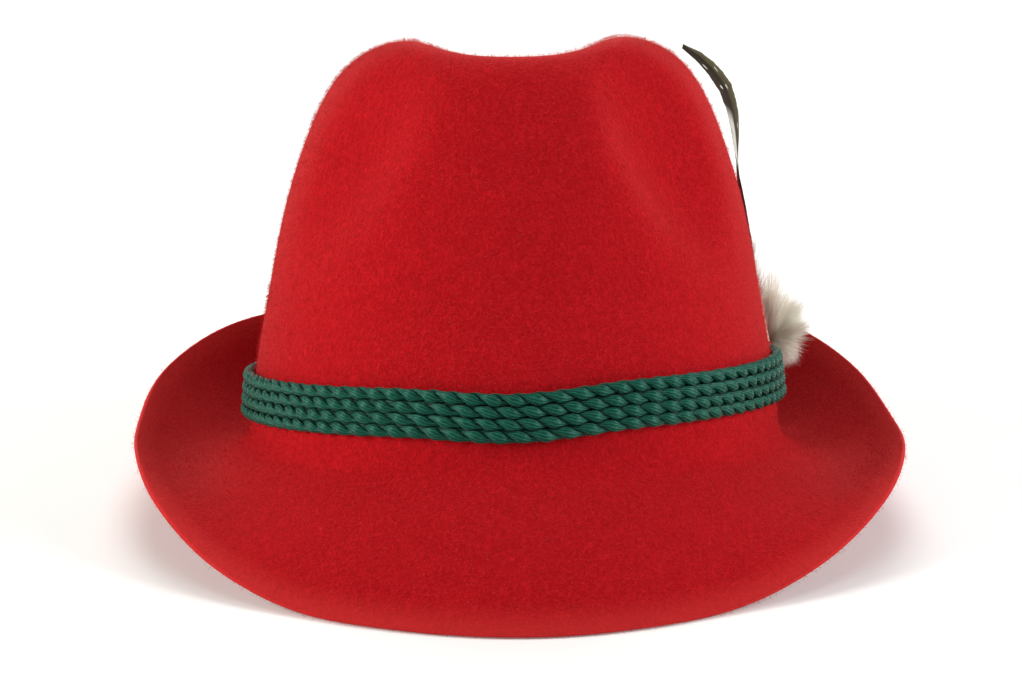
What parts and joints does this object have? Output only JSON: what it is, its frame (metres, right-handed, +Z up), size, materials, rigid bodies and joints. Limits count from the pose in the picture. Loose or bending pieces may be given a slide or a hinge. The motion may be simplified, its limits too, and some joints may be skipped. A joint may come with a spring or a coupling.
{
  "type": "trilby hat",
  "caption": "Felt trilby with a creased and pinched crown, brim down in front and up behind, a twisted cord band, and a fur brush with feathers at the wearer's left.",
  "frame": {"origin": "middle of the hat's outline, on the surface that it rests on", "axes": "+Z up, -Y towards the front of the hat, +X towards the wearer's left"},
  "size_m": [0.2466, 0.2848, 0.1513],
  "materials": {
    "felt": "matt velour wool felt with a short brushed nap",
    "cord": "silky twisted rayon cord",
    "fur": "soft off-white fur",
    "feather": "dark feather with pale spots"
  },
  "bodies": {
    "root": {"felt_hood": "felt", "band_cord_1": "cord", "band_cord_2": "cord", "band_cord_3": "cord", "band_cord_4": "cord", "fur_tuft": "fur", "long_feather": "feather", "short_feather": "feather"}
  },
  "joints": []
}
